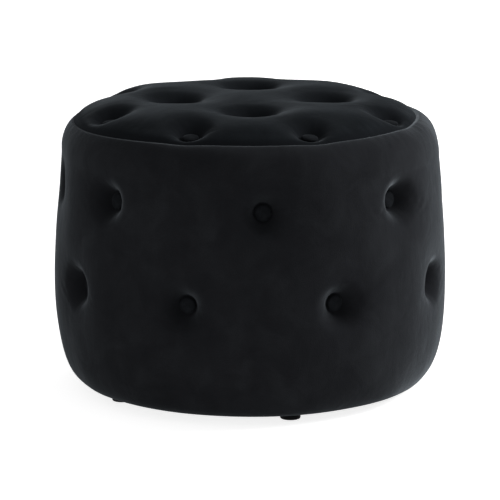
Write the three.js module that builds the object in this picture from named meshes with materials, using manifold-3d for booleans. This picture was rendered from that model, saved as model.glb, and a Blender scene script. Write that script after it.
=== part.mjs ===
import * as THREE from 'three';
import { mergeVertices } from 'three/addons/utils/BufferGeometryUtils.js';
import Module from 'manifold-3d';

// A round tuffet with a buttoned velvet cover over foam, on a hollow drum of board.
// Millimetres, +Z up, the front faces -Y, and the origin is on the floor under the middle.

const wasm = await Module();
wasm.setup();

// Driving sizes of the smooth body, measured over the velvet
const bodyRadius = 270; // widest radius
const seamInset = 42; // from there in to the seam between the top panel and the side band
const seamHeight = 376; // height of that seam above the floor
const crownRise = 26; // rise of the top panel above its seam
const crownPower = 5; // a higher power keeps the top flat for longer
const shoulderHeight = 51; // height of the rounded shoulder below the seam
const shoulderTaper = 9; // the body below the shoulder is this much inside its widest radius
const widestHeight = 167; // the side tapers above this height
const underInset = 38; // from the widest radius in to where the side band turns under the base
const underRounding = 113; // height of the rounding above the base
const underPower = 2.2; // squareness of that rounding

// Clearances and cuts
const gap = 0.3; // between pieces that touch
const overrun = 5; // how far a cutter runs past what it cuts

// Cover and buttons
const coverThickness = 2;
const turnedUnder = 40; // width of the side band stapled under the base
const panelSeamAngles = [106, 261]; // upright seams that join the band's front and rear panels
const buttonRadius = 11.25;
const buttonEdge = 1.8; // height of the straight edge of a button
const buttonDome = 3.4; // height of the dome above that edge
const shankRadius = 3;
const shankGrip = 3; // how far a shank reaches into the foam
const seatMargin = 2.2; // flat velvet around a button
const twineRadius = 1.2;

// Tufts
const sideTuftDepth = 27;
const sideTuftReach = 60; // radius of the dimple round a side button
const innerTuftDepth = 33; // how far a button of the top's inner ring is pulled down
const innerTuftReach = 82;
const outerTuftDepth = 12;
const outerTuftReach = 62;
const seamHoldBand = 19; // width beside the seam in which the top's dimples die away
const upperRowDrop = 86; // from the seam down to the upper row of the side
const rowSpacing = 128; // from the upper row down to the lower row
const outerRingInset = 24; // from the seam in to the outer ring of the top
const ringSpacing = 101; // from the outer ring in to the inner ring

// Angles in degrees from the front towards +X
const upperRowAngles = [4, 50, 95, 140, 185, 231, 277.5, 313];
const lowerRowAngles = [27, 70, 117, 162, 206, 251, 298, 340.5];
const innerRingAngles = [0, 90, 180, 270];
const outerRingAngles = [22.5, 67.5, 112.5, 157.5, 202.5, 247.5, 292.5, 337.5];

// Drum
const wallInset = 6.7; // from where the side band turns under in to the face of the wall
const boardThickness = 15;
const wallThickness = 3;
const seatFoamEdge = 72; // foam between the top board and the height of the seam
const postWidth = 38;
const postCount = 3;
const postInset = 26; // from the edge of the boards to the middle of a post
const firstPostAngle = 0;

// Base and feet
const dustCoverThickness = 1;
const dustCoverMargin = 8; // the dust cover ends this far inside the turn of the side band
const footRadius = 14;
const footTaper = 1.5; // a foot is this much slimmer at its top
const footHeight = 9;
const footCount = 5;
const firstFootAngle = -57;
const footInset = 24; // from the turn of the side band to the middle of a foot

// Screws
const screwRadius = 2.1;
const screwHeadRadius = 4.3;
const screwHeadHeight = 2.8;
const screwPoint = 4; // length of the tapered point
const postScrewLength = 45;
const footScrewLength = 21;
const footRecess = 4.2; // depth of a foot's recess for its screw head
const twineFromWall = 1.2; // free space between the lacing and the drum's wall

// Facets
const roundCount = 32;
const seatCount = 6;
const smallCount = 10;
const footFacets = 16;
const holeCount = 4;
const twineCount = 6;

// Tuft rings between the button's seat and the edge of the dimple, as shares of that way
const tuftRingShares = [0.34, 0.82];
const tuftRingCounts = [6, 8];
// Rows of the smooth side between seam and turn, as shares of the way down it
const sideRowShares = [0.07, 0.14, 0.45, 0.7, 0.83, 0.93];
const topRowShare = 0.94; // row of the top beside the seam, as a share of the seam's radius
const pillowSpacing = 58; // distance between the points that shape the pillows of the top

// Radii and heights that follow from the sizes above
const seamRadius = bodyRadius - seamInset;
const underRadius = bodyRadius - underInset;
const wallRadius = underRadius - wallInset;
const boardRadius = wallRadius - wallThickness - gap;
const outerRingRadius = seamRadius - outerRingInset;
const innerRingRadius = outerRingRadius - ringSpacing;
const upperRowHeight = seamHeight - upperRowDrop;
const lowerRowHeight = upperRowHeight - rowSpacing;
const dustCoverBottom = footHeight + gap;
const coverBottom = dustCoverBottom + dustCoverThickness + gap;
const baseBottom = coverBottom + coverThickness + gap;
const baseTop = baseBottom + boardThickness;
const topBoardTop = seamHeight - seatFoamEdge;
const topBoardBottom = topBoardTop - boardThickness;
const seatRadius = buttonRadius + seatMargin;
const crownTop = seamHeight + crownRise;

const velvet = { color: 0x1b1d20, roughness: 0.95, metalness: 0 };
const velvetTop = { color: 0x202327, roughness: 0.95, metalness: 0 };
const buttonVelvet = { color: 0x15171a, roughness: 0.95, metalness: 0 };
const foam = { color: 0xd9cf9a, roughness: 1, metalness: 0 };
const plywood = { color: 0xc49a6c, roughness: 0.8, metalness: 0 };
const hardboard = { color: 0x8a6a4a, roughness: 0.8, metalness: 0 };
const pine = { color: 0xd8b98a, roughness: 0.8, metalness: 0 };
const twine = { color: 0xe5ddc8, roughness: 0.9, metalness: 0 };
const nonWoven = { color: 0x18181a, roughness: 0.9, metalness: 0 };
const plastic = { color: 0x141416, roughness: 0.5, metalness: 0 };
const steel = { color: 0xa8a9ad, roughness: 0.35, metalness: 1 };

const tuffet = new THREE.Group();

function addPart(name, geometry, finish) {
  const mesh = new THREE.Mesh(geometry, new THREE.MeshStandardMaterial(finish));
  mesh.name = name;
  tuffet.add(mesh);
  return mesh;
}

// Solids for cutting and joining

function solidOf(geometry) {
  const bare = geometry.clone();
  bare.deleteAttribute('normal');
  bare.deleteAttribute('uv');
  const merged = mergeVertices(bare);
  const vertProperties = new Float32Array(merged.attributes.position.array);
  const triVerts = new Uint32Array(merged.index.array);
  return new wasm.Manifold(new wasm.Mesh({ numProp: 3, vertProperties, triVerts }));
}

function geometryOf(solid) {
  const mesh = solid.getMesh();
  const geometry = new THREE.BufferGeometry();
  geometry.setAttribute('position', new THREE.BufferAttribute(new Float32Array(mesh.vertProperties), 3));
  geometry.setIndex(new THREE.BufferAttribute(new Uint32Array(mesh.triVerts), 1));
  geometry.computeVertexNormals();
  return geometry;
}

// Turns a lathe or cylinder about Y into one about Z, standing at a height
function upright(geometry, height) {
  geometry.rotateX(Math.PI / 2);
  geometry.translate(0, 0, height);
  return geometry;
}

// A cylinder about Z whose facets line up with those of the body's rings
function drum(radius, bottom, top, count = roundCount) {
  const geometry = new THREE.CylinderGeometry(radius, radius, top - bottom, count);
  return upright(geometry, (bottom + top) / 2);
}

// A rod between two points
function rod(from, to, radius, count) {
  const along = to.clone().sub(from);
  const geometry = new THREE.CylinderGeometry(radius, radius, along.length(), count);
  geometry.applyQuaternion(new THREE.Quaternion().setFromUnitVectors(
    new THREE.Vector3(0, 1, 0), along.normalize()));
  const middle = from.clone().add(to).multiplyScalar(0.5);
  geometry.translate(middle.x, middle.y, middle.z);
  return geometry;
}

function around(angle, radius, height) {
  const turn = THREE.MathUtils.degToRad(angle);
  return new THREE.Vector3(radius * Math.sin(turn), -radius * Math.cos(turn), height);
}

// The smooth body

// Section of the side band from the seam down to the turn: x is the radius and y the height
class SideSection extends THREE.Curve {
  getPoint(t) {
    const shoulderRadius = bodyRadius - shoulderTaper;
    const sideTop = seamHeight - shoulderHeight;
    const sideBottom = coverBottom + underRounding;
    const stage = 3 * t;
    if (stage < 1) {
      const turn = stage * Math.PI / 2;
      const radius = seamRadius + (shoulderRadius - seamRadius) * Math.sin(turn);
      return new THREE.Vector2(radius, seamHeight - shoulderHeight * (1 - Math.cos(turn)));
    }
    if (stage < 2) {
      const height = sideTop + (sideBottom - sideTop) * (stage - 1);
      const above = Math.max(0, height - widestHeight) / (sideTop - widestHeight);
      return new THREE.Vector2(bodyRadius - shoulderTaper * above ** 2, height);
    }
    const turn = Math.min(stage - 2, 1) * Math.PI / 2;
    const inward = 1 - Math.max(0, Math.cos(turn)) ** (2 / underPower);
    const radius = bodyRadius - (bodyRadius - underRadius) * inward;
    const height = sideBottom - underRounding * Math.sin(turn) ** (2 / underPower);
    return new THREE.Vector2(radius, height);
  }
}

const sideSection = new SideSection();
const sideLength = sideSection.getLength();

// A point of the skin has its place on the smooth body, the way out of it there, and its
// place on a flat map, on which the top is a unit disc and the side a ring around it.
function sidePoint(angle, down) {
  const share = THREE.MathUtils.clamp(down / sideLength, 0, 1);
  const section = sideSection.getPointAt(share);
  const slope = sideSection.getTangentAt(share);
  const turn = THREE.MathUtils.degToRad(angle);
  const out = new THREE.Vector2(-slope.y, slope.x);
  const mapRadius = Math.exp(down / bodyRadius);
  return {
    place: around(angle, section.x, section.y),
    out: new THREE.Vector3(out.x * Math.sin(turn), -out.x * Math.cos(turn), out.y),
    map: new THREE.Vector2(mapRadius * Math.sin(turn), -mapRadius * Math.cos(turn)),
    onTop: false,
  };
}

function topPoint(x, y) {
  const share = Math.hypot(x, y) / seamRadius;
  const slope = -crownPower * crownRise / seamRadius * share ** (crownPower - 1);
  const way = share > 0 ? Math.atan2(y, x) : 0;
  const out = new THREE.Vector3(-slope * Math.cos(way), -slope * Math.sin(way), 1).normalize();
  return {
    place: new THREE.Vector3(x, y, seamHeight + crownRise * (1 - share ** crownPower)),
    out,
    map: new THREE.Vector2(x / seamRadius, y / seamRadius),
    onTop: true,
  };
}

// How far down the side section a height is reached
function downAtHeight(height) {
  let low = 0;
  let high = 1;
  for (let i = 0; i < 40; i += 1) {
    const middle = (low + high) / 2;
    if (sideSection.getPointAt(middle).y > height) low = middle;
    else high = middle;
  }
  return low * sideLength;
}

// Tufts: where each button pulls the skin in, and how its seat lies

function sideTuft(angle, height) {
  const down = downAtHeight(height);
  const middle = sidePoint(angle, down);
  const radius = Math.hypot(middle.place.x, middle.place.y);
  const pointAt = (distance, turn) => sidePoint(
    angle + THREE.MathUtils.radToDeg(distance * Math.cos(turn) / radius),
    down - distance * Math.sin(turn));
  return { ...middle, depth: sideTuftDepth, reach: sideTuftReach, pointAt };
}

function topTuft(angle, radius, depth, reach) {
  const { x, y } = around(angle, radius, 0);
  const middle = topPoint(x, y);
  middle.out.set(0, 0, 1);
  const pointAt = (distance, turn) => topPoint(
    x + distance * Math.cos(turn), y + distance * Math.sin(turn));
  return { ...middle, depth, reach, pointAt };
}

const innerTufts = innerRingAngles.map(
  (angle) => topTuft(angle, innerRingRadius, innerTuftDepth, innerTuftReach));
const outerTufts = outerRingAngles.map(
  (angle) => topTuft(angle, outerRingRadius, outerTuftDepth, outerTuftReach));
const topTufts = [...innerTufts, ...outerTufts];
const upperTufts = upperRowAngles.map((angle) => sideTuft(angle, upperRowHeight));
const lowerTufts = lowerRowAngles.map((angle) => sideTuft(angle, lowerRowHeight));
const sideTufts = [...upperTufts, ...lowerTufts];

// Depth of the dimples at a point: full on each seat, then falling as a square to the edge
function dimpleDepth(point) {
  let depth = 0;
  for (const tuft of point.onTop ? topTufts : sideTufts) {
    const distance = point.place.distanceTo(tuft.place);
    const share = THREE.MathUtils.clamp((distance - seatRadius) / (tuft.reach - seatRadius), 0, 1);
    depth += tuft.depth * (1 - share) ** 2;
  }
  if (!point.onTop) return depth;
  const fromSeam = seamRadius - Math.hypot(point.place.x, point.place.y);
  return depth * THREE.MathUtils.clamp(fromSeam / seamHoldBand, 0, 1) ** 2;
}

// A skin point drawn in by the tufts and set back by an offset
function pulledPoint(point, offset) {
  if (point.seatOf) {
    const tuft = point.seatOf;
    const drawn = point.place.clone().sub(tuft.place);
    drawn.addScaledVector(tuft.out, -drawn.dot(tuft.out) - tuft.depth - offset);
    return drawn.add(tuft.place);
  }
  return point.place.clone().addScaledVector(point.out, -dimpleDepth(point) - offset);
}

// Points of the whole skin

function ringAngles(shift) {
  return Array.from({ length: roundCount }, (_, i) => (i + shift) * 360 / roundCount);
}

function tuftRings(tuft) {
  const points = [];
  for (let i = 0; i < seatCount; i += 1) {
    const point = tuft.pointAt(seatRadius / Math.cos(Math.PI / seatCount), 2 * Math.PI * i / seatCount);
    points.push({ ...point, seatOf: tuft });
  }
  tuftRingShares.forEach((share, ring) => {
    const distance = seatRadius + share * (tuft.reach - seatRadius);
    const count = tuftRingCounts[ring];
    for (let i = 0; i < count; i += 1) {
      points.push(tuft.pointAt(distance, 2 * Math.PI * (i + 0.5) / count));
    }
  });
  return points;
}

function clearOf(tufts, point) {
  return tufts.every((tuft) => point.place.distanceTo(tuft.place) > tuft.reach);
}

function skinPoints() {
  const points = [];
  for (const angle of ringAngles(0)) points.push(sidePoint(angle, 0));
  for (const angle of ringAngles(0.5)) {
    const place = around(angle, topRowShare * seamRadius, 0);
    const point = topPoint(place.x, place.y);
    if (clearOfRings(point, topTufts)) points.push(point);
  }
  for (const tuft of topTufts) {
    for (const point of tuftRings(tuft)) {
      const radius = Math.hypot(point.place.x, point.place.y);
      if (point.seatOf || radius < topRowShare * seamRadius) points.push(point);
    }
  }
  const steps = Math.ceil(seamRadius / pillowSpacing);
  for (let row = -steps; row <= steps; row += 1) {
    for (let column = -steps; column <= steps; column += 1) {
      const x = (column + (row % 2) / 2) * pillowSpacing;
      const y = row * pillowSpacing * Math.sqrt(3) / 2;
      if (Math.hypot(x, y) > topRowShare * seamRadius - pillowSpacing / 3) continue;
      const point = topPoint(x, y);
      if (clearOf(topTufts, point)) points.push(point);
    }
  }
  sideRowShares.forEach((share, row) => {
    for (const angle of ringAngles(row % 2 ? 0.5 : 0)) {
      const point = sidePoint(angle, share * sideLength);
      if (clearOfRings(point, sideTufts)) points.push(point);
    }
  });
  for (const tuft of sideTufts) points.push(...tuftRings(tuft));
  for (const angle of ringAngles(0)) points.push(sidePoint(angle, sideLength));
  return points;
}

// Whether a row's point is outside the outer ring of every tuft
function clearOfRings(point, tufts) {
  const outer = tuftRingShares[tuftRingShares.length - 1];
  return tufts.every((tuft) => {
    const ring = seatRadius + outer * (tuft.reach - seatRadius);
    return point.place.distanceTo(tuft.place) > ring + seatRadius / 2;
  });
}

// Triangles between points of a plane, no point lying in the circle round another's triangle.
// The points are moved by a hair first, so that no four of them share a circle.
function triangulate(flatPoints) {
  const hair = 1e-5;
  const far = 1000;
  const all = flatPoints.map(({ x, y }, i) => [x + hair * Math.sin(7 * i), y + hair * Math.cos(11 * i)]);
  const count = all.length;
  all.push([-far, -far], [far, -far], [0, far]);
  const circled = (a, b, c) => {
    const [ax, ay] = all[a];
    const bx = all[b][0] - ax;
    const by = all[b][1] - ay;
    const cx = all[c][0] - ax;
    const cy = all[c][1] - ay;
    const cross = 2 * (bx * cy - by * cx);
    const x = (cy * (bx * bx + by * by) - by * (cx * cx + cy * cy)) / cross;
    const y = (bx * (cx * cx + cy * cy) - cx * (bx * bx + by * by)) / cross;
    return { corners: [a, b, c], x: ax + x, y: ay + y, square: x * x + y * y };
  };
  let triangles = [circled(count, count + 1, count + 2)];
  for (let i = 0; i < count; i += 1) {
    const edges = new Map();
    const kept = [];
    for (const triangle of triangles) {
      const square = (all[i][0] - triangle.x) ** 2 + (all[i][1] - triangle.y) ** 2;
      if (square > triangle.square) {
        kept.push(triangle);
        continue;
      }
      const [a, b, c] = triangle.corners;
      for (const [from, to] of [[a, b], [b, c], [c, a]]) {
        if (!edges.delete(`${to} ${from}`)) edges.set(`${from} ${to}`, [from, to]);
      }
    }
    for (const [from, to] of edges.values()) kept.push(circled(from, to, i));
    triangles = kept;
  }
  return triangles.map(({ corners }) => corners).filter((corners) => Math.max(...corners) < count);
}

const points = skinPoints();
const triangles = triangulate(points.map(({ map }) => map));

// The whole body as one closed solid, its skin set back by an offset
function bodySolid(offset) {
  const places = points.map((point) => pulledPoint(point, offset));
  const middle = places.length;
  places.push(new THREE.Vector3(0, 0, coverBottom + offset));
  const index = triangles.flat();
  for (let i = 0; i < roundCount; i += 1) {
    const first = middle - roundCount;
    index.push(first + (i + 1) % roundCount, first + i, middle);
  }
  const geometry = new THREE.BufferGeometry().setFromPoints(places);
  geometry.setIndex(index);
  return solidOf(geometry);
}

// Frames of the buttons: the seat's middle, the way out, and the bores along it

function seatMiddle(tuft, offset = 0) {
  return tuft.place.clone().addScaledVector(tuft.out, -tuft.depth - offset);
}

// Radius of a faceted hole that clears a round piece all round
function holeRadius(radius) {
  return (radius + gap) / Math.cos(Math.PI / holeCount);
}

function boreAlong(tuft, radius, depth) {
  const from = seatMiddle(tuft, -overrun);
  return rod(from, seatMiddle(tuft, depth), holeRadius(radius), holeCount);
}

function cutAll(solid, geometries) {
  return geometries.reduce((rest, geometry) => rest.subtract(solidOf(geometry)), solid);
}

// Where a side tuft's line meets a radius inside the drum
function depthAtRadius(tuft, radius) {
  const seat = seatMiddle(tuft);
  const level = Math.hypot(tuft.out.x, tuft.out.y);
  return (Math.hypot(seat.x, seat.y) - radius) / level;
}

const laceRadius = wallRadius - wallThickness - twineFromWall - twineRadius;
const laceDrop = twineFromWall + twineRadius; // from the top board down to the lacing's middle
const footPlaces = Array.from({ length: footCount },
  (_, i) => around(firstFootAngle + i * 360 / footCount, underRadius - footInset, 0));
const postPlaces = Array.from({ length: postCount },
  (_, i) => around(firstPostAngle + i * 360 / postCount, boardRadius - postInset, 0));

function standingRod(place, radius, bottom, top, count = smallCount) {
  return rod(new THREE.Vector3(place.x, place.y, bottom), new THREE.Vector3(place.x, place.y, top),
    radius, count);
}

// Velvet cover

// The space of the rear panel between the two upright seams, grown by a margin on both sides
function rearSpace(margin) {
  const [first, last] = panelSeamAngles;
  const middle = (first + last) / 2;
  const far = 2 * bodyRadius;
  const corners = [first, middle, last].map((angle) => around(angle, far, 0));
  const shift = around(middle, -margin / Math.sin(THREE.MathUtils.degToRad((last - first) / 2)), 0);
  const shape = new THREE.Shape([new THREE.Vector3(), ...corners].map(
    ({ x, y }) => new THREE.Vector2(x + shift.x, y + shift.y)));
  return new THREE.ExtrudeGeometry(shape, { depth: crownTop, bevelEnabled: false });
}

function coverSolids() {
  const skin = bodySolid(0).subtract(bodySolid(coverThickness));
  const lowest = Math.min(...topTufts.map((tuft) => seatMiddle(tuft, coverThickness).z));
  const topZone = (radius) => solidOf(drum(radius, lowest - overrun, crownTop + overrun));
  const top = skin.intersect(topZone(seamRadius - gap / 2));
  const under = solidOf(drum(
    underRadius - turnedUnder, coverBottom - overrun, coverBottom + coverThickness + overrun));
  const side = skin.subtract(topZone(seamRadius + gap / 2)).subtract(under);
  const footHoles = footPlaces.map((place) => standingRod(
    place, holeRadius(screwRadius), coverBottom - overrun, baseBottom + overrun, holeCount));
  const shankHoles = (tufts) => tufts.map((tuft) => boreAlong(tuft, shankRadius, overrun));
  const band = cutAll(side, [...shankHoles(sideTufts), ...footHoles]);
  return {
    top: cutAll(top, shankHoles(topTufts)),
    front: band.subtract(solidOf(rearSpace(gap))),
    rear: band.intersect(solidOf(rearSpace(0))),
  };
}

// Foam

function foamSolids() {
  const padding = bodySolid(coverThickness + gap);
  const seatZone = solidOf(drum(wallRadius, topBoardTop + gap, crownTop + overrun));
  const wallZone = solidOf(drum(wallRadius + gap, coverBottom - overrun, crownTop + overrun));
  const topBores = topTufts.map((tuft) => boreAlong(tuft, shankRadius, tuft.place.z - topBoardTop));
  const sideBores = sideTufts.map(
    (tuft) => boreAlong(tuft, shankRadius, depthAtRadius(tuft, wallRadius - overrun)));
  return {
    seat: cutAll(padding.intersect(seatZone), topBores),
    side: cutAll(padding.subtract(wallZone), sideBores),
  };
}

// Drum: two boards, the posts between them and the wall wrapped round their edges

function screwProfile(radius, headRadius, headHeight, length, point) {
  return [
    [0, 0], [headRadius, 0], [radius, -headHeight], [radius, point - length], [0, -length],
  ].map(([x, y]) => new THREE.Vector2(x, y));
}

// A screw standing head up with the top of its head at the origin, and its clearance hole
function screw(length) {
  const profile = screwProfile(screwRadius, screwHeadRadius, screwHeadHeight, length, screwPoint);
  return new THREE.LatheGeometry(profile.reverse(), smallCount).rotateX(Math.PI / 2);
}

function screwHole(length) {
  const profile = screwProfile(
    screwRadius + gap, screwHeadRadius + gap, screwHeadHeight, length + gap, screwPoint);
  profile.splice(1, 0, new THREE.Vector2(screwHeadRadius + gap, overrun));
  profile[0].y = overrun;
  return new THREE.LatheGeometry(profile.reverse(), smallCount).rotateX(Math.PI / 2);
}

// Puts a screw or its hole at a place, pointing down or up
function driven(geometry, place, height, up) {
  if (up) geometry.rotateX(Math.PI);
  return geometry.translate(place.x, place.y, height);
}

const topScrewHoles = postPlaces.map((place) => driven(screwHole(postScrewLength), place, topBoardTop, false));
const baseScrewHoles = postPlaces.map((place) => driven(screwHole(postScrewLength), place, baseBottom, true));
const footScrewSeat = footRecess - screwHeadHeight;
const footScrewHoles = footPlaces.map((place) => driven(screwHole(footScrewLength), place, footScrewSeat, true));

function topBoard() {
  const board = solidOf(drum(boardRadius, topBoardBottom, topBoardTop));
  const twineHoles = topTufts.map((tuft) => standingRod(
    tuft.place, holeRadius(twineRadius), topBoardBottom - overrun, topBoardTop + overrun, holeCount));
  return cutAll(board, [...twineHoles, ...topScrewHoles]);
}

function baseBoard() {
  const board = solidOf(drum(boardRadius, baseBottom, baseTop));
  return cutAll(board, [...baseScrewHoles, ...footScrewHoles]);
}

function sideWall() {
  const outer = solidOf(drum(wallRadius, baseBottom, topBoardTop));
  const inner = solidOf(drum(wallRadius - wallThickness, baseBottom - overrun, topBoardTop + overrun));
  const holes = sideTufts.map(
    (tuft) => boreAlong(tuft, twineRadius, depthAtRadius(tuft, wallRadius - wallThickness - overrun)));
  return cutAll(outer.subtract(inner), holes);
}

function post(place, angle) {
  const height = topBoardBottom - baseTop - 2 * gap;
  const box = new THREE.BoxGeometry(postWidth, postWidth, height);
  box.rotateZ(THREE.MathUtils.degToRad(angle));
  box.translate(place.x, place.y, (topBoardBottom + baseTop) / 2);
  return cutAll(solidOf(box), [...topScrewHoles, ...baseScrewHoles]);
}

// Buttons and the twine that holds them

function buttonGeometry() {
  const shankLength = gap + coverThickness + gap + shankGrip;
  const domeShare = Math.SQRT1_2;
  const profile = [
    [0, -shankLength],
    [shankRadius, -shankLength],
    [shankRadius, 0],
    [buttonRadius, 0],
    [buttonRadius, buttonEdge],
    [buttonRadius * domeShare, buttonEdge + buttonDome * domeShare],
    [0, buttonEdge + buttonDome],
  ].map(([x, y]) => new THREE.Vector2(x, y));
  return new THREE.LatheGeometry(profile, smallCount);
}

function addButtons(name, tufts) {
  tufts.forEach((tuft, i) => {
    const button = addPart(`${name}_${i + 1}`, buttonGeometry(), buttonVelvet);
    button.position.copy(seatMiddle(tuft, -gap));
    button.quaternion.setFromUnitVectors(new THREE.Vector3(0, 1, 0), tuft.out);
  });
}

// How deep below a seat the twine starts, at the end of the shank
const twineStart = coverThickness + gap + shankGrip + gap;

// A ring of twine inside the wall, with one strand out to each button of a row
function rowLacing(tufts) {
  const height = seatMiddle(tufts[0], depthAtRadius(tufts[0], laceRadius)).z;
  const section = Array.from({ length: twineCount + 1 }, (_, i) => {
    const turn = 2 * Math.PI * (i % twineCount) / twineCount;
    return new THREE.Vector2(laceRadius + twineRadius * Math.cos(turn), twineRadius * Math.sin(turn));
  });
  const ring = solidOf(upright(new THREE.LatheGeometry(section, roundCount), height));
  const reached = laceRadius * Math.cos(Math.PI / roundCount);
  return tufts.reduce((lacing, tuft) => {
    const inner = seatMiddle(tuft, depthAtRadius(tuft, reached));
    return lacing.add(solidOf(rod(seatMiddle(tuft, twineStart), inner, twineRadius, twineCount)));
  }, ring);
}

// Twine under the top board: round the inner ring, and from there out to the outer ring
function topLacing() {
  const height = topBoardBottom - laceDrop;
  const under = (tuft) => tuft.place.clone().setZ(height);
  const strands = topTufts.map((tuft) => rod(
    seatMiddle(tuft, twineStart), tuft.place.clone().setZ(height - twineRadius), twineRadius, twineCount));
  const rounds = innerTufts.map((tuft, i) => rod(
    under(tuft), under(innerTufts[(i + 1) % innerTufts.length]), twineRadius, twineCount));
  const spokes = outerTufts.map((tuft) => {
    const nearest = innerTufts.reduce((best, other) => (
      under(other).distanceTo(under(tuft)) < under(best).distanceTo(under(tuft)) ? other : best));
    return rod(under(nearest), under(tuft), twineRadius, twineCount);
  });
  const pieces = [...strands, ...rounds, ...spokes].map(solidOf);
  return pieces.reduce((lacing, piece) => lacing.add(piece));
}

// Dust cover, feet and foot screws

function dustCover() {
  const sheet = drum(underRadius - dustCoverMargin, dustCoverBottom, dustCoverBottom + dustCoverThickness);
  const holes = footPlaces.map((place) => standingRod(
    place, holeRadius(screwRadius), dustCoverBottom - overrun, dustCoverBottom + overrun, holeCount));
  return cutAll(solidOf(sheet), holes);
}

function footGeometry() {
  const bore = screwRadius + gap;
  const recess = screwHeadRadius + 2 * gap;
  const profile = [
    [bore, footRecess], [recess, footRecess], [recess, 0], [footRadius - footTaper / 2, 0],
    [footRadius, footTaper / 2], [footRadius - footTaper, footHeight], [bore, footHeight], [bore, footRecess],
  ].map(([x, y]) => new THREE.Vector2(x, y));
  return new THREE.LatheGeometry(profile, footFacets).rotateX(Math.PI / 2);
}

// Assembly

const covers = coverSolids();
const foams = foamSolids();
addPart('top_cover', geometryOf(covers.top), velvetTop);
addPart('front_cover', geometryOf(covers.front), velvet);
addPart('rear_cover', geometryOf(covers.rear), velvet);
addPart('seat_foam', geometryOf(foams.seat), foam);
addPart('side_foam', geometryOf(foams.side), foam);
addPart('top_board', geometryOf(topBoard()), plywood);
addPart('base_board', geometryOf(baseBoard()), plywood);
addPart('side_wall', geometryOf(sideWall()), hardboard);
postPlaces.forEach((place, i) => {
  addPart(`frame_post_${i + 1}`, geometryOf(post(place, firstPostAngle + i * 360 / postCount)), pine);
  addPart(`top_screw_${i + 1}`, driven(screw(postScrewLength), place, topBoardTop, false), steel);
  addPart(`base_screw_${i + 1}`, driven(screw(postScrewLength), place, baseBottom, true), steel);
});
addButtons('inner_button', innerTufts);
addButtons('outer_button', outerTufts);
addButtons('upper_button', upperTufts);
addButtons('lower_button', lowerTufts);
addPart('top_lacing', geometryOf(topLacing()), twine);
addPart('upper_lacing', geometryOf(rowLacing(upperTufts)), twine);
addPart('lower_lacing', geometryOf(rowLacing(lowerTufts)), twine);
addPart('dust_cover', geometryOf(dustCover()), nonWoven);
footPlaces.forEach((place, i) => {
  const foot = addPart(`foot_${i + 1}`, footGeometry(), plastic);
  foot.position.copy(place);
  addPart(`foot_screw_${i + 1}`, driven(screw(footScrewLength), place, footScrewSeat, true), steel);
});

export default tuffet;
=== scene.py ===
import math
import time

import bpy
import numpy as np
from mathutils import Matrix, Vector


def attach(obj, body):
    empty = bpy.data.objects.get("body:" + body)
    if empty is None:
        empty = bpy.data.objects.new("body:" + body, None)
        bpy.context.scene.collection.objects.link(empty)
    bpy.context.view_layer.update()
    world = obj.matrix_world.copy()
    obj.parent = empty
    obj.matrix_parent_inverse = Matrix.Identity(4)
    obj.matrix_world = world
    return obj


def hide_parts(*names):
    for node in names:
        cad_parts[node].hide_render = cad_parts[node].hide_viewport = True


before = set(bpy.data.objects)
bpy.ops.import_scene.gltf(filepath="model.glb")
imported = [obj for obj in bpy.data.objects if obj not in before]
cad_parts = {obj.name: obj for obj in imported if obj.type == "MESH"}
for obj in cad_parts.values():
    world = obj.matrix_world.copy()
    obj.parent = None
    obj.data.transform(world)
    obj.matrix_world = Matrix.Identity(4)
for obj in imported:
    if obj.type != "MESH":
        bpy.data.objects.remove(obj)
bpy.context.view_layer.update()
startTime = time.time()

# A round tuffet with a buttoned black velvet cover over foam. Metres, +Z up, the front faces -Y.
# Angles run in degrees from the front towards +X.

body = {
    "radius": 0.27,  # widest, over the velvet
    "seamRadius": 0.228,
    "seamHeight": 0.376,
    "crownTop": 0.402,
    "crownPower": 8,  # a higher power keeps the top flat longer
    "shoulderHeight": 0.051,
    "shoulderTaper": 0.009,
    "widestHeight": 0.167,
    "underRadius": 0.232,
    "underHeight": 0.0106,
    "underRounding": 0.113,
    "underPower": 2.2,
    "turnedRadius": 0.192,  # the velvet turned under the base ends here
    "seamShift": 0.015,  # the seam was sewn this far off its ring on the left
    "seamShiftAngle": -85,
    "seamShiftWidth": 75,
    "seamShiftPower": 0.6,  # below 1 broadens the middle of the shift
    "seamShiftFade": 0.1,  # the band has evened out this far below the seam
    "sectionPoints": 1501,  # of the side's section
    "slopeSteps": 400,  # its slope is taken over two such steps
}

tufts = {
    "seatRadius": 0.01345,  # flat velvet under a button
    "wideShare": 0.25,  # part of a dimple's depth that is its wide soft hollow
    "side": {"depth": 0.027, "reach": 0.04, "wideReach": 0.078},
    "inner": {"depth": 0.033, "reach": 0.051, "wideReach": 0.085},
    "outer": {"depth": 0.016, "reach": 0.042, "wideReach": 0.072},
    "innerRing": 0.103,
    "outerRing": 0.204,
    "outerTilt": 8,  # degrees that the outer seats lean out
    "upperHeight": 0.29,
    "lowerHeight": 0.162,
    "upperAngles": [4, 50, 95, 140, 185, 231, 277.5, 313],
    "lowerAngles": [27, 70, 117, 162, 206, 251, 298, 340.5],
    "innerAngles": [0, 90, 180, 270],
    "outerAngles": np.arange(22.5, 360, 45),
    "puckerCounts": (7, 11, 16),  # waves of the puckers round a button
}

chance = np.random.default_rng(28)
upward = np.array([0, 0, 1])


def report(words):
    print(f"{time.time() - startTime:6.1f} s  {words}", flush=True)


# Joins parts, such as all x, all y and all z, into rows
def rowsOf(*parts):
    return np.stack(np.broadcast_arrays(*parts), axis=-1)


# Points at an angle from the front, a radius and a height
def around(angle, radius, height):
    turn = np.radians(angle)
    return rowsOf(radius * np.sin(turn), -radius * np.cos(turn), height)


def unit(vector):
    return vector / np.linalg.norm(vector)


def smoothStep(low, high, value):
    share = np.clip((value - low) / (high - low), 0, 1)
    return share * share * (3 - 2 * share)


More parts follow.
